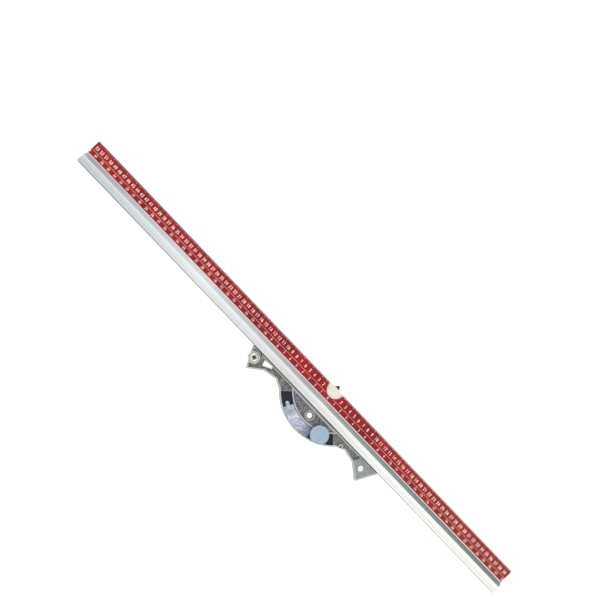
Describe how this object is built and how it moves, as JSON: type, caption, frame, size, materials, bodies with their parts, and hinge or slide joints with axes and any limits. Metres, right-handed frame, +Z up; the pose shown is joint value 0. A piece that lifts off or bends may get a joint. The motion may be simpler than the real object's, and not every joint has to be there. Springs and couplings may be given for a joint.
{
  "type": "tile cutter measuring fence",
  "caption": "Swivelling measuring fence of a manual tile cutter: long scaled rail on a half-moon goniometer bracket with a sliding angle clamp, stop screw and zero index.",
  "frame": {"origin": "axis of the bracket's centre hole, on the plane of the bracket's underside, which the fence rests on", "axes": "+X along the rail towards the end that is printed 39, +Y towards the tile, +Z up"},
  "size_m": [0.935, 0.0994, 0.024],
  "materials": {
    "rail_aluminium": "natural anodised extrusion with fine lines along its length",
    "scale_red": "satin red print with cream numbers and ticks",
    "cast_metal": "bright die-cast, mottled, lighter on the rims",
    "polished_steel": "polished, slightly worn",
    "zinc_steel": "zinc plated",
    "yellow_zinc": "yellow passivated zinc",
    "bush_brass": "turned",
    "cream_paint": "satin cream enamel",
    "dark_steel": "hardened and blackened",
    "black_plastic": "moulded, fine texture",
    "blue_plastic": "smooth, light blue"
  },
  "bodies": {
    "fence": {"fence_rail": "rail_aluminium", "scale_flange": "rail_aluminium", "scale_strip": "scale_red", "goniometer_bracket": "cast_metal", "rail_screws": "zinc_steel", "slot_nuts": "zinc_steel", "wear_band": "polished_steel", "band_rivets": "zinc_steel", "pivot_arm": "zinc_steel", "pivot_bush": "bush_brass", "stop_washer": "zinc_steel", "stop_screw": "yellow_zinc"},
    "swivel": {"index_plate": "cream_paint", "index_tip": "dark_steel", "pivot_washer": "zinc_steel", "pivot_screw": "zinc_steel"},
    "stop": {"stop_cam": "zinc_steel"},
    "slider": {"slider_block": "black_plastic", "knob_washer": "zinc_steel"},
    "shoe": {"clamp_shoe": "zinc_steel"},
    "knob": {"knob_body": "black_plastic", "knob_cap": "blue_plastic", "clamp_screw": "zinc_steel"}
  },
  "joints": [
    {"name": "fence_swing", "type": "hinge", "parent": "fence", "child": "swivel", "pos_m": [0, 0.054, 0.0065], "axis": [0, 0, 1], "range_deg": [-45, 45]},
    {"name": "slider_travel", "type": "hinge", "parent": "fence", "child": "slider", "pos_m": [0, 0.054, 0.01], "axis": [0, 0, 1], "range_deg": [-59, 7]},
    {"name": "knob_turn", "type": "hinge", "parent": "slider", "child": "knob", "pos_m": [0.03156, -0.01071, 0.012], "axis": [0, 0, -1], "range_deg": [0, 210]},
    {"name": "shoe_lift", "type": "slide", "parent": "slider", "child": "shoe", "axis": [0, 0, 1], "range_m": [0, 0.0006]},
    {"name": "stop_turn", "type": "hinge", "parent": "fence", "child": "stop", "pos_m": [-0.1257, 0, 0.004], "axis": [0, 0, 1], "range_deg": [-180, 180]}
  ],
  "couplings": [
    {"joint": "shoe_lift", "follows": "knob_turn", "m_per_rad": 0.00015915}
  ]
}
